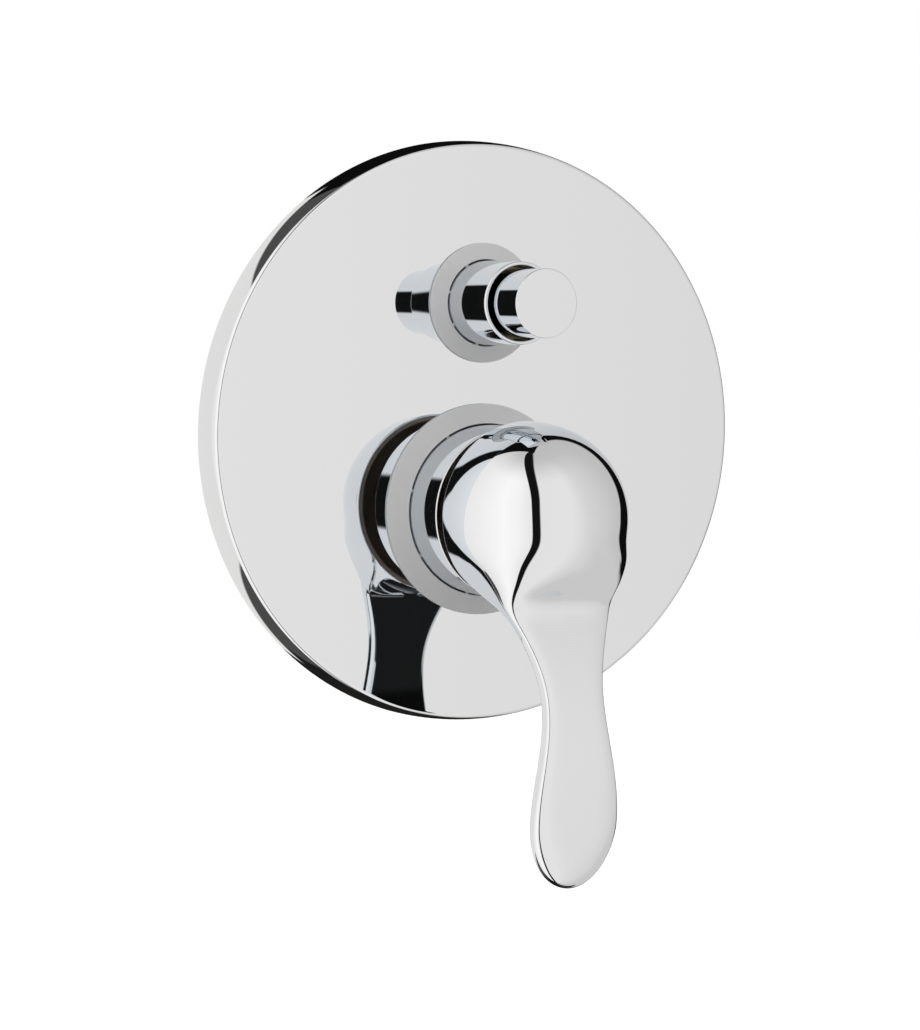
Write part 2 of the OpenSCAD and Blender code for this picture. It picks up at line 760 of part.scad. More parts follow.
module lever_handle() {
    inner_r = dome_r - handle_wall;
    hub_foot = rim_h + 4;
    color(chrome) from_wall(cartridge_up, plate_out) {
        difference() {
            handle_skin();
            difference() {
                rotate_extrude($fn = 96) polygon(concat(
                    [[0, rim_h - past], [inner_r, rim_h - past]],
                    [for (a = [0:6:90]) [inner_r * cos(a), rim_h + cavity_h * pow(sin(a), 2 / dome_power)]]
                ));
                bar(hub_r, hub_foot, rim_h + dome_h);
            }
            translate([-stem_w / 2, -stem_w / 2, hub_foot - past])
                cube([stem_w, stem_w, stem_top - plate_out - hub_foot + past]);
            translate([0, 0, screw_out - plate_out]) rotate([90, 0, 0])
                bar(screw_r, stem_w / 2 - past, dome_r + 20);
        }
    }
}

// the hidden set screw that locks the handle to the spindle
module handle_screw() {
    length = 6;
    key_r = 1.45;
    key_depth = 3;
    head = stem_w / 2 + length;
    color(steel) from_wall(cartridge_up, screw_out) rotate([90, 0, 0]) difference() {
        bar(screw_r - seat, stem_w / 2, head);
        translate([0, 0, head - key_depth]) cylinder(r = key_r, h = key_depth + past, $fn = 6);
    }
}

// the cap that closes the screw's hole in the underside of the neck
module handle_plug() {
    z_in = (dome_r - handle_wall) * sqrt(1 - pow((screw_out - rim_out) / cavity_h, dome_power));
    color(dark_plastic) from_wall(cartridge_up, screw_out) rotate([90, 0, 0])
        bar(screw_r - seat, z_in + 0.4, z_in + 3);
}

// the diverter's headwork, screwed into the body, with the front seat on its inner end
module diverter_bonnet() {
    color(brass) from_wall(diverter_up) difference() {
        union() {
            bar(tube_r, front_seat, bonnet_shoulder + past);
            bar(thread_r, bonnet_shoulder, bonnet_thread_top);
            bar(9.6, bonnet_thread_top, hex_foot);
            translate([0, 0, hex_foot]) cylinder(r = 10.7, h = hex_top - hex_foot, $fn = 6);
            bar(bonnet_collar_r, hex_top, bonnet_collar_top);
            bar(6.5, bonnet_collar_top, bonnet_top);
        }
        bar(seat_hole_r, front_seat - past, spring_seat);
        bar(rod_r + run, spring_seat - past, bonnet_top + past);
        ring(tube_r + past, tube_groove_r, front_seat + 0.9, front_seat + 2.1);
        ring(diverter_sleeve_r, bonnet_groove_r, hex_top + 1.3, hex_top + 2.7);
        for (o = rod_grooves) bar(rod_groove_r, o - 0.6, o + 0.6);
        for (a = [45, 135]) translate([0, 0, bonnet_shoulder - 3.4]) rotate([0, 90, a])
            bar(2.2, -thread_r, thread_r);
    }
}

module bonnet_orings() {
    color(rubber) from_wall(diverter_up) oring(tube_groove_r, land_r, front_seat + 1.5);
}

module rod_orings() {
    color(rubber) from_wall(diverter_up) for (o = rod_grooves) oring(rod_r, rod_groove_r, o);
}

module diverter_rod() {
    color(steel) from_wall(diverter_up) bar(rod_r, piston_foot, rod_top);
}

module diverter_piston() {
    color(brass) from_wall(diverter_up)
        ring(7.2, rod_r, piston_foot + washer_thick, piston_top - washer_thick);
}

// one rubber washer on each face of the piston
module piston_washers() {
    color(rubber) from_wall(diverter_up) {
        ring(7.2, rod_r, piston_foot, piston_foot + washer_thick);
        ring(7.2, rod_r, piston_top - washer_thick, piston_top);
    }
}

// a closed tube along a helix between the piston and the bonnet
module diverter_spring() {
    steps = 16;
    sides = 6;
    rings = spring_turns * steps;
    low = piston_top + wire_r;
    high = spring_seat - wire_r;
    points = [for (i = [0:rings], k = [0:sides - 1])
        let (
            a = 360 * i / steps,
            b = 360 * k / sides,
            r = spring_r + wire_r * cos(b)
        )
        [r * cos(a), r * sin(a), low + (high - low) * i / rings + wire_r * sin(b)]];
    walls = [for (i = [0:rings - 1], k = [0:sides - 1])
        let (k2 = (k + 1) % sides)
        each [
            [i * sides + k, (i + 1) * sides + k2, (i + 1) * sides + k],
            [i * sides + k, i * sides + k2, (i + 1) * sides + k2]
        ]];
    ends = [[for (k = [sides - 1:-1:0]) k], [for (k = [0:sides - 1]) rings * sides + k]];
    color(steel) from_wall(diverter_up)
        polyhedron(points = points, faces = concat(walls, ends), convexity = 10);
}

module diverter_knob() {
    hub_back = rod_top - knob_hub_l;
    floor_back = knob_face - knob_wall - 1;
    bore = knob_r - knob_wall;
    color(chrome) from_wall(diverter_up) rotate_extrude($fn = 96) polygon(concat(
        [[rod_r, hub_back], [knob_hub_r, hub_back], [knob_hub_r, floor_back]],
        [[bore, floor_back], [bore, knob_foot], [knob_r, knob_foot]],
        arc(knob_r - 0.35, knob_face - 0.35, 0.35, 0, 90, 4),
        [[0, knob_face], [0, rod_top], [rod_r, rod_top]]
    ));
}

cover_plate();
wall_seal();
lever_gasket();
diverter_gasket();
lever_sleeve();
lever_sleeve_oring();
diverter_sleeve();
diverter_sleeve_oring();
valve_body();
cartridge_nut();
cartridge_housing();
cartridge_base();
base_seals();
fixed_disc();
moving_disc();
disc_carrier();
turret();
turret_oring();
pivot_pin();
lever_spindle();
lever_handle();
handle_screw();
handle_plug();
diverter_bonnet();
bonnet_orings();
diverter_rod();
rod_orings();
diverter_piston();
piston_washers();
diverter_spring();
diverter_knob();
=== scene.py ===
import math

import bmesh
import bpy
import numpy as np
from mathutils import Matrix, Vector


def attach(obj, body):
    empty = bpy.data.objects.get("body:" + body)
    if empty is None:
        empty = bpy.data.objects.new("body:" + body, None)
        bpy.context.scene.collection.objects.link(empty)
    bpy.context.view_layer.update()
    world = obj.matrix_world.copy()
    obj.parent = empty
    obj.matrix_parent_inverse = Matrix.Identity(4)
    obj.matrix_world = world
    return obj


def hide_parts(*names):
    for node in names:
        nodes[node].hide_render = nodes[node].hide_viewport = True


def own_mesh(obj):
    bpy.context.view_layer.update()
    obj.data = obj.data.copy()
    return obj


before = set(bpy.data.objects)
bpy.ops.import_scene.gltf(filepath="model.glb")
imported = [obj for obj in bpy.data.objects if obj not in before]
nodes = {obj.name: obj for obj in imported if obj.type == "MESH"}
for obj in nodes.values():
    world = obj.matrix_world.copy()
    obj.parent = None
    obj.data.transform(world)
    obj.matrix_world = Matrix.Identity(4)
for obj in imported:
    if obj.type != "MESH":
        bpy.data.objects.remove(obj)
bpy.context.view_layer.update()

# The camera stands in front of the cover plate, to its left and a little above its middle.
# It looks slightly down and right, through a long lens, as for a catalogue picture.
camera_place = Vector((-0.418022, -0.808870, 0.037587))
camera_right = Vector((0.889325, -0.457185, 0.009127))
camera_up = Vector((0.023084, 0.064820, 0.997630))
camera_data = bpy.data.cameras.new("camera")
camera_data.lens = 108.2
camera_data.sensor_width = 36
camera = bpy.data.objects.new("camera", camera_data)
camera.matrix_world = (
    *((*column, 0) for column in (camera_right, camera_up, camera_right.cross(camera_up))),
    (*camera_place, 1),
)
bpy.context.scene.collection.objects.link(camera)
bpy.context.scene.camera = camera
bpy.context.scene.view_settings.view_transform = "Standard"


# The studio is a tent of white cloth round the front of the plate, over a floor of white paper. The cloth is
# brightest on the left, and parts in one narrow upright slot, where the camera looks in. Behind the plate
# stands a low white board. All the rest of the room is dark, and polished metal shows every part of it.
def linear(colour):
    """An sRGB hex colour as linear red, green, blue and alpha."""
    parts = [int(colour[i : i + 2], 16) / 255 for i in (0, 2, 4)]
    return [c / 12.92 if c <= 0.04045 else ((c + 0.055) / 1.055) ** 2.4 for c in parts] + [1]


def add(tree, kind, inputs=(), **settings):
    """A new node of a tree: its settings, then its inputs, each a value or the output that feeds it."""
    made = tree.nodes.new(kind)
    for name, value in settings.items():
        setattr(made, name, value)
    for key, value in dict(inputs).items():
        if isinstance(value, bpy.types.NodeSocket):
            tree.links.new(value, made.inputs[key])
        else:
            made.inputs[key].default_value = value
    return made


def sums(tree, operation, first, second=0.0):
    """The output of one sum on two values."""
    return add(tree, "ShaderNodeMath", {0: first, 1: second}, operation=operation).outputs[0]


def ramp(angle, start, end):
    """A smooth step from 0 where an angle, in degrees, is start, to 1 where it is end."""
    inputs = {"Value": angle, 1: start, 2: end}
    return add(sky, "ShaderNodeMapRange", inputs, interpolation_type="SMOOTHSTEP").outputs[0]


def between(angle, low, high, soft, high_soft=None):
    """1 where an angle lies between two others, fading to 0 over some degrees outside them."""
    return sums(sky, "MULTIPLY", ramp(angle, low - soft, low), ramp(angle, high + (high_soft or soft), high))


world = bpy.data.worlds.new("light_tent")
bpy.context.scene.world = world
world.use_nodes = True
sky = world.node_tree
sky.nodes.clear()
direction = add(sky, "ShaderNodeTexCoord").outputs["Generated"]
parts = add(sky, "ShaderNodeSeparateXYZ", {0: direction})
right, behind, above = parts.outputs
# turn is 0 straight out of the plate's face and 90 to its right, and rise is 90 straight up
turn = sums(sky, "DEGREES", sums(sky, "ARCTAN2", right, sums(sky, "MULTIPLY", behind, -1.0)))
back_turn = sums(sky, "DEGREES", sums(sky, "ARCTAN2", right, behind))
rise = sums(sky, "DEGREES", sums(sky, "ARCSINE", above))

# the tent's cloth by the turn at which it hangs: its seams, and the colour that it glows there
dark, black = "1A1A1A", "0B0B0B"
cloth = (
    (-156, dark), (-151, "D1D1D1"), (-130, "DADADA"), (-70, "EBEBEB"), (-50, "E6E6E6"), (-32, "DADADA"),
    (-20, "D5D5D5"), (20, "D6D6D6"), (40, "C8C8C8"), (60, "C1C1C1"), (90, "B5B5B5"), (150, "A8A8A8"), (156, dark),
)
seams = add(sky, "ShaderNodeMapRange", {"Value": turn, 1: -180.0, 2: 180.0})
tent = add(sky, "ShaderNodeValToRGB", {0: seams.outputs[0]})
tent.color_ramp.elements.remove(tent.color_ramp.elements[0])
for place, (angle, colour) in enumerate(cloth):
    stop = (angle + 180) / 360
    seam = tent.color_ramp.elements[0] if place == 0 else tent.color_ramp.elements.new(stop)
    seam.position = stop
    seam.color = linear(colour)
# towards its top the cloth is greyer, and the slot leans to the left
tent_top = ramp(rise, 85, 45)
light = add(sky, "ShaderNodeMix", {"Factor": tent_top, 6: linear("B2B2B2"), 7: tent.outputs[0]}, data_type="RGBA")
level = sums(sky, "COSINE", sums(sky, "RADIANS", rise))
slot = sums(sky, "MULTIPLY", sums(sky, "ADD", turn, 26.0), level)
slot = sums(sky, "ADD", slot, sums(sky, "MULTIPLY", ramp(rise, 25, 75), 6.0))
# the right side of the tent leans back over the plate as it rises
back_lean = sums(sky, "SUBTRACT", turn, sums(sky, "MULTIPLY", sums(sky, "MAXIMUM", rise, 0.0), 0.5))
# each sheet of paper: the angle that it spans, from, to, its soft edge, its lowest and highest rise, its colour
sheets = (
    (turn, 97, 200, 6, -200, -14, dark),
    (turn, 60, 118, 18, -200, -28, "BCBCBC"),
    (turn, 84, 124, 3, -200, -58, dark),
    (back_lean, 101, 200, 4, -16, 200, black),
    (turn, -200, -143, 2, -200, 200, black),
    (turn, -200, -143, 2, -52, 50, "444444"),
    (slot, -5, 3.8, 0.8, -200, 200, "111111"),
    (back_turn, -45, 5, 1.5, -30, 31, "D0D0D0"),
)
for angle, left, far, side_soft, low, high, colour in sheets:
    far_soft = 2 if angle is slot else side_soft
    cover = sums(sky, "MULTIPLY", between(angle, left, far, side_soft, far_soft), between(rise, low, high, side_soft))
    inputs = {"Factor": cover, 6: light.outputs[2], 7: linear(colour)}
    light = add(sky, "ShaderNodeMix", inputs, data_type="RGBA")

seen = add(sky, "ShaderNodeLightPath").outputs["Is Camera Ray"]
# the cloth has yellowed a little, which just makes up for the blue of the chrome
warm = {"Factor": 1.0, 6: light.outputs[2], 7: (1.0, 0.95, 0.905, 1.0)}
yellowed = add(sky, "ShaderNodeMix", warm, data_type="RGBA", blend_type="MULTIPLY")
around = add(sky, "ShaderNodeBackground", {"Color": yellowed.outputs[2], "Strength": 1.5})
white = add(sky, "ShaderNodeBackground", {"Color": linear("FFFFFF"), "Strength": 1.0})
shown = add(sky, "ShaderNodeMixShader", {0: seen, 1: around.outputs[0], 2: white.outputs[0]})
add(sky, "ShaderNodeOutputWorld", {0: shown.outputs[0]})

floor_depth, floor_reach = 0.6, 4
floor_mesh = bpy.data.meshes.new("floor")
floor_corners = [(x * floor_reach, y * floor_reach, -floor_depth) for x, y in ((-1, -1), (1, -1), (1, 1), (-1, 1))]
floor_mesh.from_pydata(floor_corners, [], [(0, 1, 2, 3)])
floor = bpy.data.objects.new("floor", floor_mesh)
bpy.context.scene.collection.objects.link(floor)
# matt paper: an even white with no gloss, on which the part's faint shadow falls
paper = bpy.data.materials.new("white_paper_floor")
paper.use_nodes = True
paper.node_tree.nodes.clear()
sees = add(paper.node_tree, "ShaderNodeLightPath").outputs["Is Camera Ray"]
matt = add(paper.node_tree, "ShaderNodeBsdfDiffuse", {"Color": linear("E8E8E8")})
glow_strength = sums(paper.node_tree, "MULTIPLY", sees, 0.6)
glow = add(paper.node_tree, "ShaderNodeEmission", {"Color": linear("FFFFFF"), "Strength": glow_strength})
sheet = add(paper.node_tree, "ShaderNodeAddShader", {0: matt.outputs[0], 1: glow.outputs[0]})
add(paper.node_tree, "ShaderNodeOutputMaterial", {0: sheet.outputs[0]})
floor_mesh.materials.append(paper)
floor.visible_glossy = False


# The cover plate is pressed from brass sheet, with a flat face, a rounded edge and a turned-down rim.
# It is polished and chrome plated, and two round holes in it let the sleeves through.
def metal(name, colour, roughness, wave, depth):
    """Bright metal: its colour, the softness of its gloss, and how far its skin waves over a length in mm."""
    made = bpy.data.materials.new(name)
    made.use_nodes = True
    tree = made.node_tree
    tree.nodes.clear()
    place = add(tree, "ShaderNodeTexCoord").outputs["Object"]
    scuffs = add(tree, "ShaderNodeTexNoise", {"Vector": place, "Scale": 180.0, "Detail": 4.0})
    gloss = add(tree, "ShaderNodeMapRange", {"Value": scuffs.outputs[0], 3: roughness * 0.7, 4: roughness * 1.3})
    waves = add(tree, "ShaderNodeTexNoise", {"Vector": place, "Scale": 1000 / wave, "Detail": 1.0})
    skin = add(tree, "ShaderNodeBump", {"Height": waves.outputs[0], "Strength": 1.0, "Distance": depth / 1000})
    surface = add(
        tree,
        "ShaderNodeBsdfPrincipled",
        {"Base Color": linear(colour), "Metallic": 1.0, "Roughness": gloss.outputs[0], "Normal": skin.outputs[0]},
    )
    add(tree, "ShaderNodeOutputMaterial", {0: surface.outputs[0]})
    return made


def arc(across, out, radius, start, end, steps=10):
    """Points of a round stretch of a profile, between two angles in degrees."""
    angles = np.radians(np.linspace(start, end, steps + 1))
    return [(across + radius * math.cos(a), out + radius * math.sin(a)) for a in angles]


def solid(name, points, faces, smooth=35, marks=()):
    """A mesh object from points in millimetres as right, out and up, closed and with its faces outwards."""
    mesh = bpy.data.meshes.new(name)
    mesh.from_pydata([(x / 1000, -out / 1000, up / 1000) for x, out, up in points], [], faces)
    for polygon, mark in zip(mesh.polygons, marks):
        polygon.material_index = mark
    shape = bmesh.new()
    shape.from_mesh(mesh)
    bmesh.ops.remove_doubles(shape, verts=shape.verts, dist=2e-6)
    bmesh.ops.recalc_face_normals(shape, faces=shape.faces)
    shape.to_mesh(mesh)
    shape.free()
    mesh.shade_smooth()
    mesh.set_sharp_from_angle(angle=math.radians(smooth))
    made = bpy.data.objects.new(name, mesh)
    bpy.context.scene.collection.objects.link(made)
    return made


def turned(name, profile, up, steps=192):
    """A closed profile of radius and distance out, in millimetres, turned round the axis at that height."""
    points = [
        (r * math.cos(a), out, up + r * math.sin(a))
        for a in (2 * math.pi * i / steps for i in range(steps))
        for r, out in profile
    ]
    count = len(profile)
    faces = [
        (i * count + j, i * count + (j + 1) % count, k * count + (j + 1) % count, k * count + j)
        for i, k in ((i, (i + 1) % steps) for i in range(steps))
        for j in range(count)
    ]
    return solid(name, points, faces)


def cut(piece, *cutters):
    """Takes other solids out of a piece, and removes them."""
    for cutter in cutters:
        taken = piece.modifiers.new("cut", "BOOLEAN")
        taken.operation = "DIFFERENCE"
        taken.object = cutter
    bpy.context.view_layer.update()
    old = piece.data
    piece.data = bpy.data.meshes.new_from_object(piece.evaluated_get(bpy.context.evaluated_depsgraph_get()))
    piece.modifiers.clear()
    bpy.data.meshes.remove(old)
    for cutter in cutters:
        bpy.data.objects.remove(cutter)
    piece.data.set_sharp_from_angle(angle=math.radians(35))


def finish_piece(piece, body, slot, material, *replaced):
    """Gives a piece its material and its body, and hides the solids that it stands for; its slot is not used."""
    if piece.data.materials:
        piece.data.materials[0] = material
    else:
        piece.data.materials.append(material)
    # big flat faces keep their own normal, and only the small faces of a rounded edge bend it
    piece.modifiers.new("even_shading", "WEIGHTED_NORMAL").keep_sharp = True
    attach(piece, body)
    if replaced:
        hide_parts(*replaced)


plate_r, plate_out, plate_sheet, plate_round, plate_draft = 85, 10.3, 1.2, 1.3, 1.13
lever_up, knob_up = -22.2, 37.8
lever_hole_r, knob_hole_r = 28.4, 14.7
polished_chrome = metal("polished_chrome_on_brass", "E1E6EB", 0.02, 9, 0.002)
front_r, front_out = plate_r - plate_draft - plate_round, plate_out - plate_round
# the rim bulges a little: it leans 1 degree at its foot and 13 degrees where it turns into the face
lean_foot, lean_front = 1, 13
front_rise = front_out + plate_round * math.sin(math.radians(lean_front))
bulge_r = front_rise / (math.sin(math.radians(lean_front)) - math.sin(math.radians(lean_foot)))
bulge_across = front_r + (plate_round - bulge_r) * math.cos(math.radians(lean_front))
bulge_out = front_rise - bulge_r * math.sin(math.radians(lean_front))
plate_profile = [
    (0, plate_out),
    *arc(front_r, front_out, plate_round, 90, lean_front, 14),
    *arc(bulge_across, bulge_out, bulge_r, lean_front, lean_foot + 0.4, 10)[1:],
    (bulge_across + bulge_r - 0.25, 0),
    (bulge_across + bulge_r - plate_sheet, 0),
    *arc(front_r, front_out, plate_round - plate_sheet, lean_front, 90, 6),
    (0, plate_out - plate_sheet),
]
cover_plate = turned("cover_plate_pressed", plate_profile, 0, 360)
lever_hole = turned("lever_hole", [(0, 5), (lever_hole_r, 5), (lever_hole_r, 15), (0, 15)], lever_up)
knob_hole = turned("knob_hole", [(0, 5), (knob_hole_r, 5), (knob_hole_r, 15), (0, 15)], knob_up)
cut(cover_plate, lever_hole, knob_hole)
finish_piece(cover_plate, "valve", "chrome_plate", polished_chrome, "cover_plate")


# A soft ring fills the gap between each sleeve and its hole, and hides the cut edge of the plate.
# It is moulded in grey rubber that lets a little light in, with small nubs that centre it on its sleeve.
def moulded(name, colour, roughness, grain, depth_in):
    """A moulded skin: its colour, its gloss, the fineness of its grain in mm, and how deep light goes in mm."""
    made = bpy.data.materials.new(name)
    made.use_nodes = True
    tree = made.node_tree
    tree.nodes.clear()
    place = add(tree, "ShaderNodeTexCoord").outputs["Object"]
    pores = add(tree, "ShaderNodeTexNoise", {"Vector": place, "Scale": 1000 / grain, "Detail": 3.0})
    skin = add(tree, "ShaderNodeBump", {"Height": pores.outputs[0], "Strength": 0.35, "Distance": 0.00004})
    bloom = add(tree, "ShaderNodeTexNoise", {"Vector": place, "Scale": 60.0, "Detail": 2.0})
    gloss = add(tree, "ShaderNodeMapRange", {"Value": bloom.outputs[0], 3: roughness - 0.05, 4: roughness + 0.05})
    surface = add(
        tree,
        "ShaderNodeBsdfPrincipled",
        {
            "Base Color": linear(colour),
            "Roughness": gloss.outputs[0],
            "Normal": skin.outputs[0],
            "Subsurface Weight": 0.3 if depth_in else 0.0,
            "Subsurface Scale": depth_in / 1000,
            "Subsurface Radius": (1.0, 1.0, 1.0),
        },
    )
    add(tree, "ShaderNodeOutputMaterial", {0: surface.outputs[0]})
    return made


grey_rubber = moulded("grey_moulded_rubber", "D1D5D9", 0.4, 0.6, 1.2)
plate_back = plate_out - plate_sheet
lever_sleeve_r, knob_sleeve_r = 24.8, 12.3


def new_tree(name, **sizes):
    """A Geometry Nodes tree with named inputs, and its input node."""
    tree = bpy.data.node_groups.new(name, "GeometryNodeTree")
    for size, kind in sizes.items():
        tree.interface.new_socket(size, in_out="INPUT", socket_type="NodeSocket" + kind)
    tree.interface.new_socket("mesh", in_out="OUTPUT", socket_type="NodeSocketGeometry")
    return tree, add(tree, "NodeGroupInput").outputs


def end_tree(tree, shape, given):
    """Turns and places the shape that a tree has made, and gives it its material."""
    placed = {"Geometry": shape, "Translation": given["place"], "Rotation": given["turn"]}
    placed = add(tree, "GeometryNodeTransform", placed)
    whole = add(tree, "GeometryNodeRealizeInstances", {0: placed.outputs[0]})
    dressed = {"Geometry": whole.outputs[0], "Material": given["material"]}
    add(tree, "NodeGroupOutput", {0: add(tree, "GeometryNodeSetMaterial", dressed).outputs[0]})


def grown(name, tree, **sizes):
    """A plain mesh object, made by a tree from its sizes in metres."""
    made = bpy.data.objects.new(name, bpy.data.meshes.new(name))
    bpy.context.scene.collection.objects.link(made)
    growth = made.modifiers.new("growth", "NODES")
    growth.node_group = tree
    for socket in tree.interface.items_tree:
        if socket.in_out == "INPUT":
            growth[socket.identifier] = sizes[socket.name]
    bpy.context.view_layer.update()
    made.data = bpy.data.meshes.new_from_object(made.evaluated_get(bpy.context.evaluated_depsgraph_get()))
    made.modifiers.clear()
    made.data.shade_smooth()
    made.data.set_sharp_from_angle(angle=math.radians(40))
    return made


nub_tree, given = new_tree(
    "ring_of_nubs", radius="Float", count="Int", size="Vector", place="Vector", turn="Vector", material="Material"
)
ring = add(nub_tree, "GeometryNodeMeshCircle", {"Vertices": given["count"], "Radius": given["radius"]})
nub = add(nub_tree, "GeometryNodeMeshCube", {"Size": given["size"]})
outward = {"Vector": add(nub_tree, "GeometryNodeInputPosition").outputs[0]}
outward = add(nub_tree, "FunctionNodeAlignRotationToVector", outward, axis="X")
nubs = {"Points": ring.outputs[0], "Instance": nub.outputs[0], "Rotation": outward.outputs[0]}
nubs = add(nub_tree, "GeometryNodeInstanceOnPoints", nubs)
end_tree(nub_tree, nubs.outputs[0], given)

nub_count, gap = 8, 0.3
for name, up, sleeve_r, hole_r, outer_r, lip in (
    ("lever_gasket", lever_up, lever_sleeve_r, lever_hole_r, 30.8, 3.6),
    ("diverter_gasket", knob_up, knob_sleeve_r, knob_hole_r, 17.35, 2.35),
):
    inner = sleeve_r + gap
    grip = sleeve_r + 0.05
    profile = [
        (grip, plate_back - 1.6),
        (hole_r + 1.6, plate_back - 1.6),
        (hole_r + 1.6, plate_back),
        (hole_r, plate_back),
        (hole_r, plate_out),
        (outer_r - 0.2, plate_out),
        *arc(outer_r - 0.5, plate_out + 0.5, 0.5, -20, 75, 8),
        *arc(inner + 0.18, plate_out + lip - 0.18, 0.18, 80, 180, 6),
        (inner, plate_back - 0.4),
        (grip, plate_back - 0.6),
    ]
    gasket = turned(name + "_moulded", profile, up)
    finish_piece(gasket, "valve", "grey_rubber", grey_rubber, name)
    nub_long = plate_sheet + lip + 0.15
    nubs = grown(
        name + "_nubs",
        nub_tree,
        radius=(sleeve_r + gap / 2 + 0.05) / 1000,
        count=nub_count,
        size=((gap + 0.06) / 1000, 0.001, nub_long / 1000),
        place=(0, -(plate_back - 0.3 + nub_long / 2) / 1000, up / 1000),
        turn=(math.pi / 2, math.radians(14), 0),
        material=grey_rubber,
    )
    finish_piece(nubs, "valve", "grey_rubber", grey_rubber)


# The sleeves are turned from brass tube and chrome plated. The wide one hides the cartridge and its nut,
# and the narrow one tapers slightly to a rounded lip, out of which the pull knob comes.
tube_chrome = metal("polished_chrome_on_tube", "E1E6EB", 0.025, 12, 0.001)
lever_sleeve_front, lever_sleeve_bore, nut_r = 30.3, 23.4, 21.1
lever_sleeve_profile = [
    (lever_sleeve_bore, -9.5),
    (lever_sleeve_r, -9.5),
    *arc(lever_sleeve_r - 0.4, lever_sleeve_front - 0.4, 0.4, 0, 90, 8),
    *arc(nut_r - 0.4, lever_sleeve_front - 0.2, 0.2, 90, 180, 4),
    (nut_r - 0.6, lever_sleeve_front - 1.6),
    (lever_sleeve_bore, lever_sleeve_front - 1.6),
]
lever_sleeve = turned("lever_sleeve_turned", lever_sleeve_profile, lever_up)
finish_piece(lever_sleeve, "valve", "chrome_tube", tube_chrome, "lever_sleeve")

knob_lip_r, knob_sleeve_front, knob_sleeve_bore = 11.8, 34.1, 10.65
knob_sleeve_profile = [
    (11.2, -2),
    (knob_sleeve_r, -2),
    (knob_sleeve_r, plate_out + 3),
    *arc(knob_lip_r - 0.55, knob_sleeve_front - 0.55, 0.55, 0, 180, 16),
    (knob_sleeve_bore, knob_sleeve_front - 2),
    (11.2, knob_sleeve_front - 5),
]
knob_sleeve = turned("diverter_sleeve_turned", knob_sleeve_profile, knob_up)
finish_piece(knob_sleeve, "valve", "chrome_tube", tube_chrome, "diverter_sleeve")


# The pull knob is a thin turned cup on the end of the diverter's spindle, chrome plated, with a flat face
# whose edge is broken by a very small round.
knob_r, knob_face, knob_wall, knob_foot, rod_r, rod_top = 9.75, 48.8, 2.1, 22, 2.5, 42.8
knob_profile = [
    (rod_r, rod_top - 12),
    (4.6, rod_top - 12),
    (4.6, knob_face - knob_wall - 1),
    (knob_r - knob_wall, knob_face - knob_wall - 1),
    (knob_r - knob_wall, knob_foot),
    (knob_r, knob_foot),
    *arc(knob_r - 0.35, knob_face - 0.35, 0.35, 0, 90, 6),
    (0, knob_face),
    (0, rod_top),
    (rod_r, rod_top),
]
pull_knob = turned("pull_knob_turned", knob_profile, knob_up)
finish_piece(pull_knob, "knob", "chrome_tube", tube_chrome, "diverter_knob")


# The handle is one hollow casting, ground, polished and chrome plated outside and left raw inside. Its dome
# covers the cartridge, and the flank of the dome narrows into a thin lever with a paddle for the fingers.
dome_r, rim_out, dome_h, dome_power, dome_lean, dome_draft = 26.8, 37.9, 31.92, 2.64, 0.048, 0.035
neck_turn, neck_at, neck_w, paddle_at, paddle_w, tip_power = math.radians(31.8), 50.0, 9.15, 83.85, 13.12, 1.945
tip_at, crest_at, crest_out, neck_drop, tip_drop = 102.4, 70.2, 70.6, 10.7, 2.7
neck_thick, paddle_thick, foot_at, handle_wall, rim_round, edge_round = 4.55, 4.95, 29.3, 1.9, 0.5, 1.5
turn_at, turn_w = dome_r * math.sin(neck_turn), dome_r * math.cos(neck_turn)


def ease(t):
    """A smooth step from 0 to 1."""
    t = np.clip(t, 0, 1)
    return t * t * (3 - 2 * t)


# every form below is a function of the depth below the cartridge's axis, worked out on a fine scale
depths = np.linspace(-dome_r, tip_at, 2600)


def softened(values, width):
    """Values along the handle with their kinks worn away over a width in millimetres, but not on the upper dome."""
    step = depths[1] - depths[0]
    reach = int(4 * width / step)
    bell = np.exp(-0.5 * (np.arange(-reach, reach + 1) * step / width) ** 2)
    padded = np.pad(values, reach, mode="edge")
    smooth = np.convolve(padded, bell / bell.sum(), mode="valid")
    mixed = ease((depths + 4) / 12) * ease((tip_at - 3 - depths) / 6)
    return values + (smooth - values) * mixed


def outline(depth):
    """Half width of the handle seen from the front."""
    length = neck_at - turn_at
    t = np.clip((depth - turn_at) / length, 0, 1)
    neck = (
        turn_w * (1 - 3 * t**2 + 2 * t**3)
        - math.tan(neck_turn) * length * (t - 2 * t**2 + t**3)
        + neck_w * (3 * t**2 - 2 * t**3)
    )
    paddle = neck_w + (paddle_w - neck_w) * ease((depth - neck_at) / (paddle_at - neck_at))
    past = np.clip((depth - paddle_at) / (tip_at - paddle_at), 0, 1)
    tip = paddle_w * (1 - past**tip_power) ** (1 / tip_power)
    dome = np.sqrt(np.maximum(0, dome_r**2 - depth**2))
    return np.where(
        depth <= turn_at, dome, np.where(depth <= neck_at, neck, np.where(depth <= paddle_at, paddle, tip))
    )


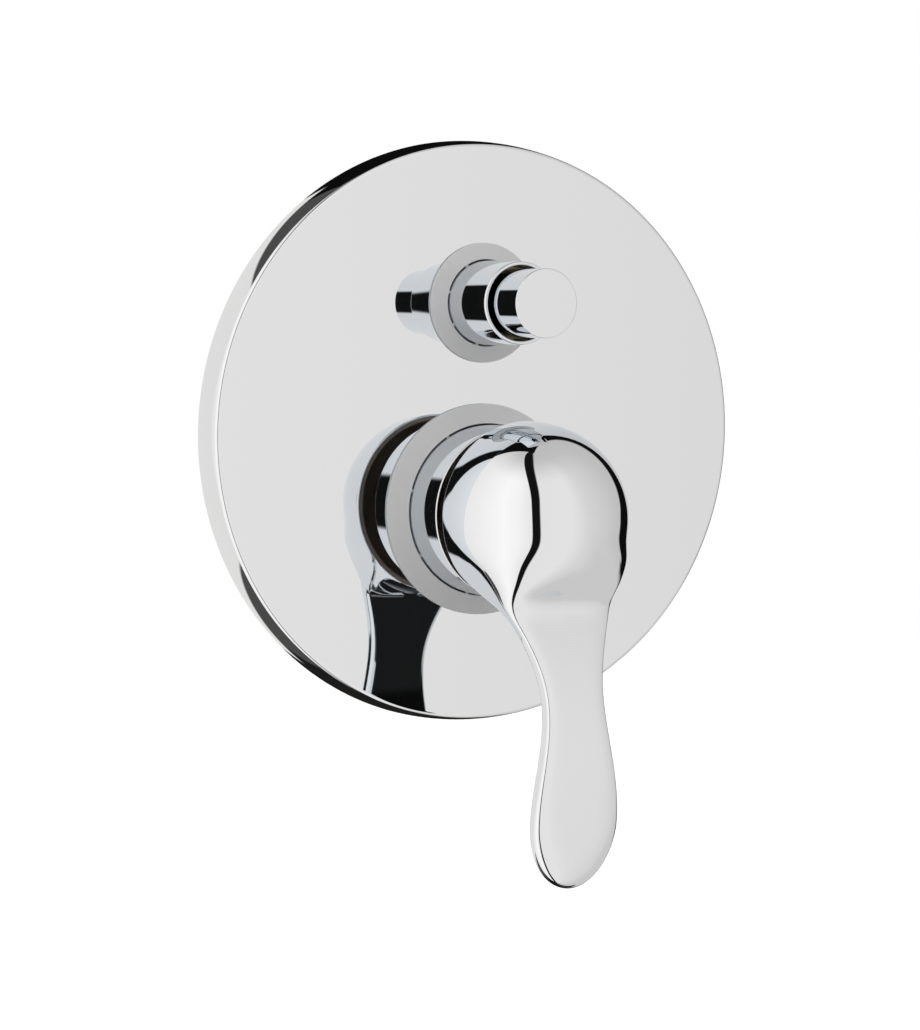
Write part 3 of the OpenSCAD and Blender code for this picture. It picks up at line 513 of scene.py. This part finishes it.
face_run = crest_at - 27.8
face = crest_out - np.where(
    depths < crest_at,
    neck_drop * ((crest_at - depths) / face_run) ** 2,
    tip_drop * ((depths - crest_at) / (tip_at - crest_at)) ** 2,
)
dome = np.maximum(0, 1 - (depths / dome_r) ** 2) ** (1 / dome_power)
dome = rim_out + dome_h * (1 + dome_lean * depths / dome_r) * dome
blend = 6.6 * ease((depths - 6) / 24.8)
ridges = softened((dome + face + np.sqrt((dome - face) ** 2 + blend**2)) / 2, 1.5)
thickness = neck_thick + (paddle_thick - neck_thick) * ease((depths - neck_at) / 30)
lows = softened(rim_out + (face - thickness - rim_out) * ease((depths - turn_at) / (foot_at - turn_at)), 1.0)
edges = rim_round + (edge_round - rim_round) * ease((depths - turn_at) / 12)
# the section is round on the dome and grows square along the neck, then rounder again at the paddle's end
paddle_share = ease((depths - 62) / 34)
square_across = softened(ease((depths - 12) / 24.8), 2)
square_out = softened(ease((depths - 5.75) / 17.7), 2)
across_powers = 2 + (7.5 - 2) * square_across + (5.0 - 7.5) * paddle_share
out_powers = dome_power + (8.7 - dome_power) * square_out + (3.2 - 8.7) * paddle_share
widths = softened(outline(depths), 0.8)


def along(values, depth):
    return np.interp(depth, depths, values)


def front(x, depth):
    """How far the handle's front stands out at a place inside its outline."""
    width = np.maximum(along(widths, np.minimum(depth, paddle_at)), 1e-6)
    past = np.maximum(0, depth - paddle_at) / (tip_at - paddle_at)
    share = np.where(
        depth > paddle_at, ((np.abs(x) / paddle_w) ** tip_power + past**tip_power) ** (1 / tip_power), np.abs(x) / width
    )
    fall = np.maximum(0, 1 - np.minimum(share, 1) ** along(across_powers, depth))
    low = along(lows, depth) + along(edges, depth)
    return low + (along(ridges, depth) - low) * fall ** (1 / along(out_powers, depth))


# points of the outline, from the top of the dome down the right side to the tip
dome_turns = np.linspace(0, math.pi / 2 + neck_turn, 70)
tip_turns = np.linspace(0, math.pi / 2, 44)[1:]
lever_depths = np.concatenate([
    np.linspace(turn_at, paddle_at, 90)[1:],
    paddle_at + (tip_at - paddle_at) * np.sin(tip_turns) ** (2 / tip_power),
])
edge_depth = np.concatenate([-dome_r * np.cos(dome_turns), lever_depths])
edge_x = np.concatenate([dome_r * np.sin(dome_turns), along(widths, lever_depths)])
tip_x = paddle_w * np.cos(tip_turns) ** (2 / tip_power)
tip_x[-1] = 0
edge_x[-len(tip_x):] = tip_x
edge_x[0] = 0
# the middle line that each point of the outline is joined to: the dome's middle, then straight across the lever
middle = np.where(edge_depth < turn_at, 0, np.minimum(edge_depth, paddle_at))
middle = middle * ease((edge_depth - turn_at) / 26)
middle[edge_depth > turn_at + 26] = np.minimum(edge_depth, paddle_at)[edge_depth > turn_at + 26]

share_turns = np.linspace(0, math.pi / 2, 34)


def arch_points(i, side):
    """Points on the handle's front from its outline to its middle, for one point of the outline."""
    power = along(across_powers, edge_depth[i])
    reach = np.cos(share_turns)
    shares = reach / (reach**power + np.sin(share_turns) ** power) ** (1 / power)
    x = edge_x[i] * shares
    depth = middle[i] + (edge_depth[i] - middle[i]) * shares
    out = front(x, depth)
    out[0] = along(lows, edge_depth[i]) + along(edges, edge_depth[i])
    return [(side * a, b, lever_up - c) for a, b, c in zip(x, out, depth)]


class Skin:
    """Sheets of points that share edges, gathered into one closed surface."""

    def __init__(self):
        self.points, self.faces, self.raw = [], [], []

    def sheet(self, rows, raw=False):
        start = len(self.points)
        wide = len(rows[0])
        for row in rows:
            self.points.extend(row)
        for i in range(len(rows) - 1):
            for j in range(wide - 1):
                a = start + i * wide + j
                self.faces.append((a, a + 1, a + wide + 1, a + wide))
                self.raw.append(int(raw))


skin = Skin()
count = len(edge_x)
# how far the outline faces right and down at each of its points
slope_x = np.gradient(edge_depth)
slope_d = -np.gradient(edge_x)
length = np.hypot(slope_x, slope_d)
face_x, face_d = slope_x / length, slope_d / length
on_rim = np.arange(count) < len(dome_turns)
face_x[on_rim], face_d[on_rim] = np.sin(dome_turns), -np.cos(dome_turns)
face_x[-1], face_d[-1] = 0, 1
round_turns = np.radians(np.linspace(0, 90, 7))
for side in (1, -1):
    skin.sheet([arch_points(i, side) for i in range(count)])
    rows = []
    for i in range(count):
        low, edge_r = along(lows, edge_depth[i]), along(edges, edge_depth[i])
        row = []
        for a in round_turns:
            inward = edge_r * (1 - math.cos(a))
            x = max(0, edge_x[i] - inward * face_x[i])
            depth = edge_depth[i] - inward * face_d[i]
            row.append((side * x, low + edge_r * (1 - math.sin(a)), lever_up - depth))
        rows.append(row)
    skin.sheet(rows)

# the back of the lever, straight across from edge to edge
def back_edge(i):
    """A point where the rounded edge meets the flat back."""
    edge_r = along(edges, edge_depth[i])
    x = max(0, edge_x[i] - edge_r * face_x[i])
    return x, edge_depth[i] - edge_r * face_d[i]


back_shares = np.linspace(-1, 1, 25)
foot = int(np.searchsorted(edge_depth[len(dome_turns) :], foot_at)) + len(dome_turns)
rows = []
for i in range(foot, count):
    x, depth = back_edge(i)
    rows.append([(x * s, along(lows, edge_depth[i]), lever_up - depth) for s in back_shares])
skin.sheet(rows)

# the underside of the neck, from the lower part of the rim to the foot of the lever's back
under_steps = foot - len(dome_turns) + 1
rim_in = dome_r - rim_round
foot_x, foot_depth = back_edge(foot)
rows = []
for i in range(len(dome_turns) - 1, foot + 1):
    t = (i - len(dome_turns) + 1) / under_steps
    x, depth = back_edge(i)
    low = along(lows, edge_depth[i])
    row = []
    for s in back_shares:
        a = s * (math.pi / 2 - neck_turn)
        arc_x, arc_depth = rim_in * math.sin(a), rim_in * math.cos(a)
        start_x, start_depth = rim_in * math.sin(math.pi / 2 - neck_turn), rim_in * math.cos(math.pi / 2 - neck_turn)
        row.append((
            (1 - t) * arc_x + s * (x - (1 - t) * start_x),
            low,
            lever_up - ((1 - t) * arc_depth + t * foot_depth + depth - (1 - t) * start_depth - t * foot_depth),
        ))
    rows.append(row)
skin.sheet(rows)

# the rim, the raw hollow behind it, and the boss in its middle that grips the spindle
hollow_r, hollow_h, boss_r, boss_foot = dome_r - handle_wall, dome_h - 2 * handle_wall, 7.4, rim_out + 4
boss_turn = math.degrees(math.acos((boss_r + 1.5) / hollow_r))
boss_top = rim_out + hollow_h * math.sin(math.radians(boss_turn)) ** (2 / dome_power)
hollow = [
    (dome_r - rim_round, rim_out),
    *arc(hollow_r + 0.4, rim_out + 0.4, 0.4, 270, 180, 5),
    *(
        (hollow_r * math.cos(a), rim_out + hollow_h * math.sin(a) ** (2 / dome_power))
        for a in np.radians(np.linspace(2, boss_turn, 26))
    ),
    (boss_r + 0.5, boss_top + 0.9),
    (boss_r, boss_top - 0.6),
    (boss_r, boss_foot + 0.5),
    (boss_r - 0.5, boss_foot),
    (0, boss_foot),
]
lower_turns = np.linspace(math.pi / 2 + neck_turn, 3 * math.pi / 2 - neck_turn, 25)[1:]
all_turns = np.concatenate([dome_turns, lower_turns, 2 * math.pi - dome_turns[-2::-1]])
skin.sheet([
    [(r * math.sin(a), out, lever_up + r * math.cos(a)) for r, out in hollow]
    for a in all_turns
], raw=True)
# the dome's wall leans in a little, as it must to leave its mould
x, out, up = np.array(skin.points).T
lean_in = 1 - dome_draft * np.maximum(0, out - rim_out) / dome_r * (1 - ease((lever_up - up) / 36))
handle_points = np.stack([x * lean_in, out, lever_up + (up - lever_up) * lean_in], 1).tolist()
handle = solid("handle_cast", handle_points, skin.faces, 40, skin.raw)
handle_chrome = metal("polished_chrome_on_casting", "E1E6EB", 0.02, 14, 0.004)
finish_piece(handle, "lever", "chrome_handle", handle_chrome, "lever_handle")
# raw die cast zinc inside, which the plating bath hardly reaches: dull and slightly brown, its colour darkened further
# as painted shade for the deep hollow
raw_zinc_painted_shade = metal("raw_cast_zinc_painted_shade", "A89F95", 0.6, 3, 0.04)
handle.data.materials.append(raw_zinc_painted_shade)


# The grub screw that grips the spindle lies deep in the handle, under a small cap pressed into its hole.
# The cap is moulded in glass filled nylon, and the screw is turned from plain steel.
def dress(material, *names):
    """Gives solids of the frame a material, as they are."""
    for name in names:
        for place in nodes[name].material_slots:
            place.material = material


# dark and hard: the glass fibres give the moulded skin a fine dull grain
dark_nylon = moulded("dark_glass_filled_nylon", "2B2D30", 0.42, 0.35, 0)
# plain steel keeps a soft grey shine, with the faint waves of drawing and grinding
plain_steel = metal("drawn_steel", "B4B6B9", 0.26, 1.6, 0.003)
dress(dark_nylon, "handle_plug")
dress(plain_steel, "handle_screw")


# A soft ring lies between the plate's rim and the tiles, and black rings of nitrile rubber seal every joint
# that water or damp could pass. All are moulded, and the round ones sit in turned grooves.
# nearly black with a dull bloom, which is what nitrile rubber looks like once it has lain a while
black_rubber = moulded("black_nitrile_rubber", "1D1D1E", 0.55, 0.8, 0)
dress(
    black_rubber,
    "wall_seal", "lever_sleeve_oring", "diverter_sleeve_oring", "base_seals", "turret_oring", "bonnet_orings",
    "rod_orings", "piston_washers",
)


# The valve body is one brass casting, set in the wall, with hot and cold water in at its sides and an outlet
# at its top and bottom. It is cast in sand, blasted, and machined where anything fits it.
def cast(name, colour, roughness, grain, depth):
    """Cast metal: its colour, its gloss, and the size and depth of its sandy grain in mm."""
    made = bpy.data.materials.new(name)
    made.use_nodes = True
    tree = made.node_tree
    tree.nodes.clear()
    place = add(tree, "ShaderNodeTexCoord").outputs["Object"]
    sand = add(tree, "ShaderNodeTexNoise", {"Vector": place, "Scale": 1000 / grain, "Detail": 4.0})
    skin = add(tree, "ShaderNodeBump", {"Height": sand.outputs[0], "Strength": 0.8, "Distance": depth / 1000})
    stain = add(tree, "ShaderNodeTexNoise", {"Vector": place, "Scale": 45.0, "Detail": 5.0})
    patches = add(tree, "ShaderNodeMapRange", {"Value": stain.outputs[0], 1: 0.35, 2: 0.7})
    tarnish = [c * 0.72 for c in linear(colour)[:3]] + [1]
    worn = {"Factor": patches.outputs[0], 6: linear(colour), 7: tarnish}
    worn = add(tree, "ShaderNodeMix", worn, data_type="RGBA")
    gloss = add(tree, "ShaderNodeMapRange", {"Value": stain.outputs[0], 3: roughness - 0.08, 4: roughness + 0.12})
    surface = add(
        tree,
        "ShaderNodeBsdfPrincipled",
        {"Base Color": worn.outputs[2], "Metallic": 1.0, "Roughness": gloss.outputs[0], "Normal": skin.outputs[0]},
    )
    add(tree, "ShaderNodeOutputMaterial", {0: surface.outputs[0]})
    return made


# sand cast brass is a dull, slightly brown yellow with a grain like fine sandpaper
cast_brass = cast("sand_cast_brass", "E0BE82", 0.42, 0.9, 0.12)
dress(cast_brass, "valve_body")


# Each of the four ports is tapped for a half inch pipe. The thread is one long ridge, wound round the bore.
coil_tree, given = new_tree(
    "wound_coil", radius="Float", length="Float", turns="Float", wire="Float", sides="Int", place="Vector",
    turn="Vector", material="Material",
)
path = {"Resolution": 40, "Rotations": given["turns"], "Height": given["length"]}
path = add(coil_tree, "GeometryNodeCurveSpiral", path | {"Start Radius": given["radius"], "End Radius": given["radius"]})
section = add(coil_tree, "GeometryNodeCurvePrimitiveCircle", {"Resolution": given["sides"], "Radius": given["wire"]})
coil = {"Curve": path.outputs[0], "Profile Curve": section.outputs[0], "Fill Caps": True}
coil = add(coil_tree, "GeometryNodeCurveToMesh", coil)
end_tree(coil_tree, coil.outputs[0], given)

thread_pitch, thread_deep, port_r, pipe_depth = 1.814, 13, 9.32, 34
cut_brass = metal("tapped_brass", "D2A765", 0.22, 0.9, 0.003)
for name, across, up, turn_to in (
    ("hot_inlet_thread", -56, lever_up, (0, math.pi / 2, 0)),
    ("cold_inlet_thread", 56, lever_up, (0, -math.pi / 2, 0)),
    ("bath_outlet_thread", 0, -80, (0, 0, 0)),
    ("shower_outlet_thread", 0, 76, (math.pi, 0, 0)),
):
    inward = 1.2
    thread = grown(
        name,
        coil_tree,
        radius=(port_r - 0.05) / 1000,
        length=thread_deep / 1000,
        turns=thread_deep / thread_pitch,
        wire=0.00055,
        sides=4,
        place=(
            (across - inward * ((across > 0) - (across < 0))) / 1000,
            pipe_depth / 1000,
            (up - (inward * ((up > 0) - (up < 0)) if across == 0 else 0)) / 1000,
        ),
        turn=turn_to,
        material=cut_brass,
    )
    finish_piece(thread, "valve", "cast_brass", cut_brass)


# The cartridge's nut, the lever's spindle, the diverter's bonnet and its piston are turned from brass bar.
def lathed(name, colour, roughness, pitch):
    """Turned metal: its colour, its gloss, and the pitch in mm of the fine rings that the tool leaves on it."""
    made = bpy.data.materials.new(name)
    made.use_nodes = True
    tree = made.node_tree
    tree.nodes.clear()
    place = add(tree, "ShaderNodeTexCoord").outputs["Object"]
    rings = {"Vector": place, "Scale": 100 * math.pi / pitch, "Distortion": 0.4, "Detail": 1.0}
    rings = add(tree, "ShaderNodeTexWave", rings, bands_direction="Y")
    skin = add(tree, "ShaderNodeBump", {"Height": rings.outputs[1], "Strength": 0.5, "Distance": 0.00001})
    scuffs = add(tree, "ShaderNodeTexNoise", {"Vector": place, "Scale": 220.0, "Detail": 4.0})
    gloss = add(tree, "ShaderNodeMapRange", {"Value": scuffs.outputs[0], 3: roughness * 0.7, 4: roughness * 1.3})
    surface = add(
        tree,
        "ShaderNodeBsdfPrincipled",
        {"Base Color": linear(colour), "Metallic": 1.0, "Roughness": gloss.outputs[0], "Normal": skin.outputs[0]},
    )
    add(tree, "ShaderNodeOutputMaterial", {0: surface.outputs[0]})
    return made


# fresh turned brass is a clear yellow with a satin shine, from rings too fine to count
turned_brass = lathed("turned_brass", "C9A468", 0.24, 0.35)
dress(turned_brass, "cartridge_nut", "lever_spindle", "diverter_piston")
# a darker copy of the turned brass, as painted shade, for the headwork that is just seen in the dark gap round the knob
brass_painted_shade = lathed("turned_brass_painted_shade", "978B72", 0.32, 0.35)
dress(brass_painted_shade, "diverter_bonnet")
dress(plain_steel, "pivot_pin", "diverter_rod")


# The ceramic cartridge: a white acetal housing and turret, a dark nylon base and carrier, and between them
# two discs of alumina that slide on each other, so flat that they hold water back without a seal.
# acetal is a slightly warm white, smooth from the mould, and lets light a little way in
white_acetal = moulded("white_moulded_acetal", "ECEAE3", 0.32, 0.4, 0.8)
# fired alumina is whiter and harder, and its lapped faces shine like a plate
alumina = moulded("lapped_alumina", "F3F0E9", 0.18, 0.2, 0.4)
dress(white_acetal, "cartridge_housing", "turret")
dress(dark_nylon, "cartridge_base", "disc_carrier")
dress(alumina, "fixed_disc", "moving_disc")


# A coil of spring wire pushes the diverter's piston back to its rear seat when the knob is let go. It is wound
# from drawn steel, and its coils close up as the knob is pulled.
spring_r, spring_wire, spring_turns, spring_front, spring_back = 4.2, 0.4, 7, -10.45, -33.35
spring_steel = metal("drawn_spring_steel", "C2C3C5", 0.18, 2.2, 0.002)
spring = grown(
    "diverter_spring_wound",
    coil_tree,
    radius=spring_r / 1000,
    length=(spring_front - spring_back) / 1000,
    turns=float(spring_turns),
    wire=spring_wire / 1000,
    sides=10,
    place=(0, -spring_back / 1000, knob_up / 1000),
    turn=(math.pi / 2, 0, 0),
    material=spring_steel,
)
spring.data.materials.clear()
finish_piece(spring, "valve", "steel", spring_steel, "diverter_spring")
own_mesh(spring)
